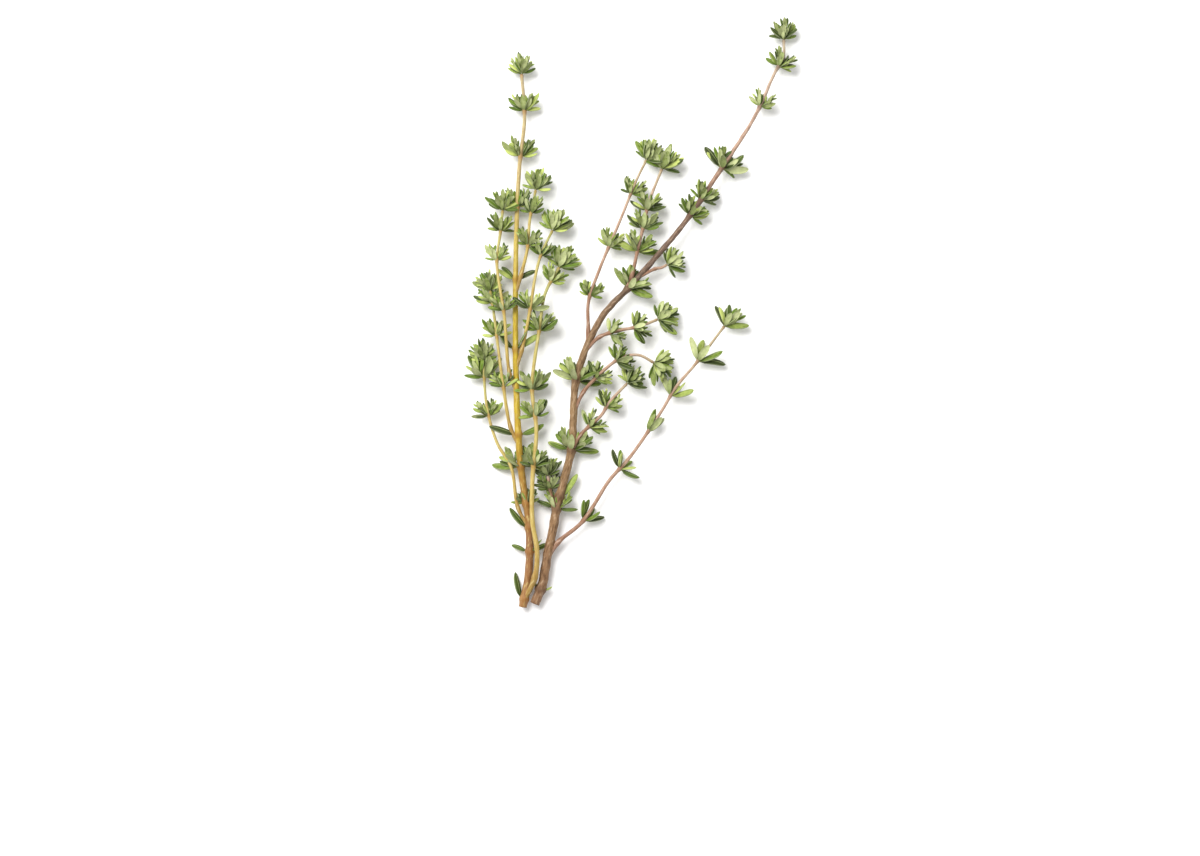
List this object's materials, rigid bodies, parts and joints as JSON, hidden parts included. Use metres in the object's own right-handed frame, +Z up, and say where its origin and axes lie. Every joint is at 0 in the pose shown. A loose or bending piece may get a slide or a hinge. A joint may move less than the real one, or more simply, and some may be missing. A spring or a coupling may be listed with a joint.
{
  "type": "thyme sprig",
  "caption": "Forked cut sprig of thyme lying flat, with slender side shoots and opposite whorls of small oval leaves.",
  "frame": {"origin": "bottom centre of the bounding box, on the surface that the sprig lies on", "axes": "+Y from the cut end to the tips, +X to the right seen from above, +Z up from the surface"},
  "size_m": [0.0988, 0.1756, 0.0109],
  "materials": {
    "green_bark": "satin",
    "woody_bark": "matte",
    "pink_bark": "satin",
    "leaf": "satin",
    "leafy_shoot": "satin"
  },
  "bodies": {
    "root": {"broad_right_shoot": "leafy_shoot", "bud_shoot": "leafy_shoot", "dark_tuft": "leafy_shoot", "green_stem": "green_bark", "green_stem_leaves_1": "leaf", "green_stem_leaves_10": "leaf", "green_stem_leaves_11": "leaf", "green_stem_leaves_12": "leaf", "green_stem_leaves_2": "leaf", "green_stem_leaves_3": "leaf", "green_stem_leaves_4": "leaf", "green_stem_leaves_5": "leaf", "green_stem_leaves_6": "leaf", "green_stem_leaves_7": "leaf", "green_stem_leaves_8": "leaf", "green_stem_leaves_9": "leaf", "inner_branch": "pink_bark", "inner_branch_leaves_1": "leaf", "inner_branch_leaves_2": "leaf", "inner_branch_leaves_3": "leaf", "inner_branch_leaves_4": "leaf", "inner_left_shoot": "leafy_shoot", "left_shoot": "leafy_shoot", "long_green_shoot": "green_bark", "long_green_shoot_leaves_1": "leaf", "long_green_shoot_leaves_2": "leaf", "long_green_shoot_leaves_3": "leaf", "long_green_shoot_leaves_4": "leaf", "long_green_shoot_leaves_5": "leaf", "long_green_shoot_leaves_6": "leaf", "low_branch": "pink_bark", "low_branch_leaves_1": "leaf", "low_branch_leaves_2": "leaf", "low_branch_leaves_3": "leaf", "low_branch_leaves_4": "leaf", "low_branch_leaves_5": "leaf", "low_branch_leaves_6": "leaf", "lower_right_shoot": "leafy_shoot", "middle_right_shoot": "leafy_shoot", "outer_left_shoot": "leafy_shoot", "right_shoot": "leafy_shoot", "upper_branch": "pink_bark", "upper_branch_leaves_1": "leaf", "upper_branch_leaves_2": "leaf", "upper_branch_leaves_3": "leaf", "upper_branch_leaves_4": "leaf", "upper_right_shoot": "leafy_shoot", "woody_stem": "woody_bark", "woody_stem_leaves_1": "leaf", "woody_stem_leaves_10": "leaf", "woody_stem_leaves_11": "leaf", "woody_stem_leaves_12": "leaf", "woody_stem_leaves_2": "leaf", "woody_stem_leaves_3": "leaf", "woody_stem_leaves_4": "leaf", "woody_stem_leaves_5": "leaf", "woody_stem_leaves_6": "leaf", "woody_stem_leaves_7": "leaf", "woody_stem_leaves_8": "leaf", "woody_stem_leaves_9": "leaf"}
  },
  "joints": []
}
